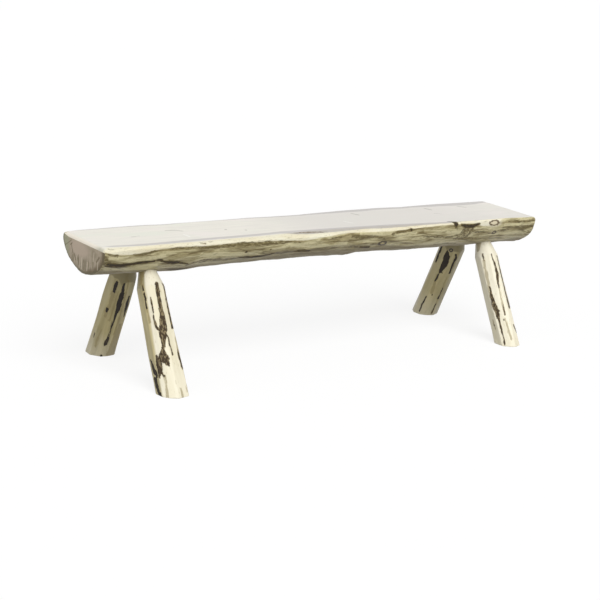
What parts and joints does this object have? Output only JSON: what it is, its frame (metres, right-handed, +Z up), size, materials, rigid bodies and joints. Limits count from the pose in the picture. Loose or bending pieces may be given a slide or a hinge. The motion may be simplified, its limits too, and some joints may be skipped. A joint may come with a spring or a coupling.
{
  "type": "log bench",
  "caption": "Rustic half-log bench: flat-topped seat with waney edges on splayed, hand-peeled round legs tenoned into its underside.",
  "frame": {"origin": "on the floor under the middle of the seat", "axes": "+X along the seat to the right-hand end, +Y to the back, +Z up"},
  "size_m": [1.8287, 0.5883, 0.457],
  "materials": {
    "seat_log": "clear satin lacquer over a sawn flat and hand-peeled sides, with brown bark streaks",
    "peeled_pole": "clear satin lacquer over drawknife flats, with dark bark patches",
    "screw_steel": "zinc plated"
  },
  "bodies": {
    "root": {"half_log_seat": "seat_log", "front_left_leg": "peeled_pole", "front_left_tenon_screw": "screw_steel", "back_left_leg": "peeled_pole", "back_left_tenon_screw": "screw_steel", "front_right_leg": "peeled_pole", "front_right_tenon_screw": "screw_steel", "back_right_leg": "peeled_pole", "back_right_tenon_screw": "screw_steel"}
  },
  "joints": []
}
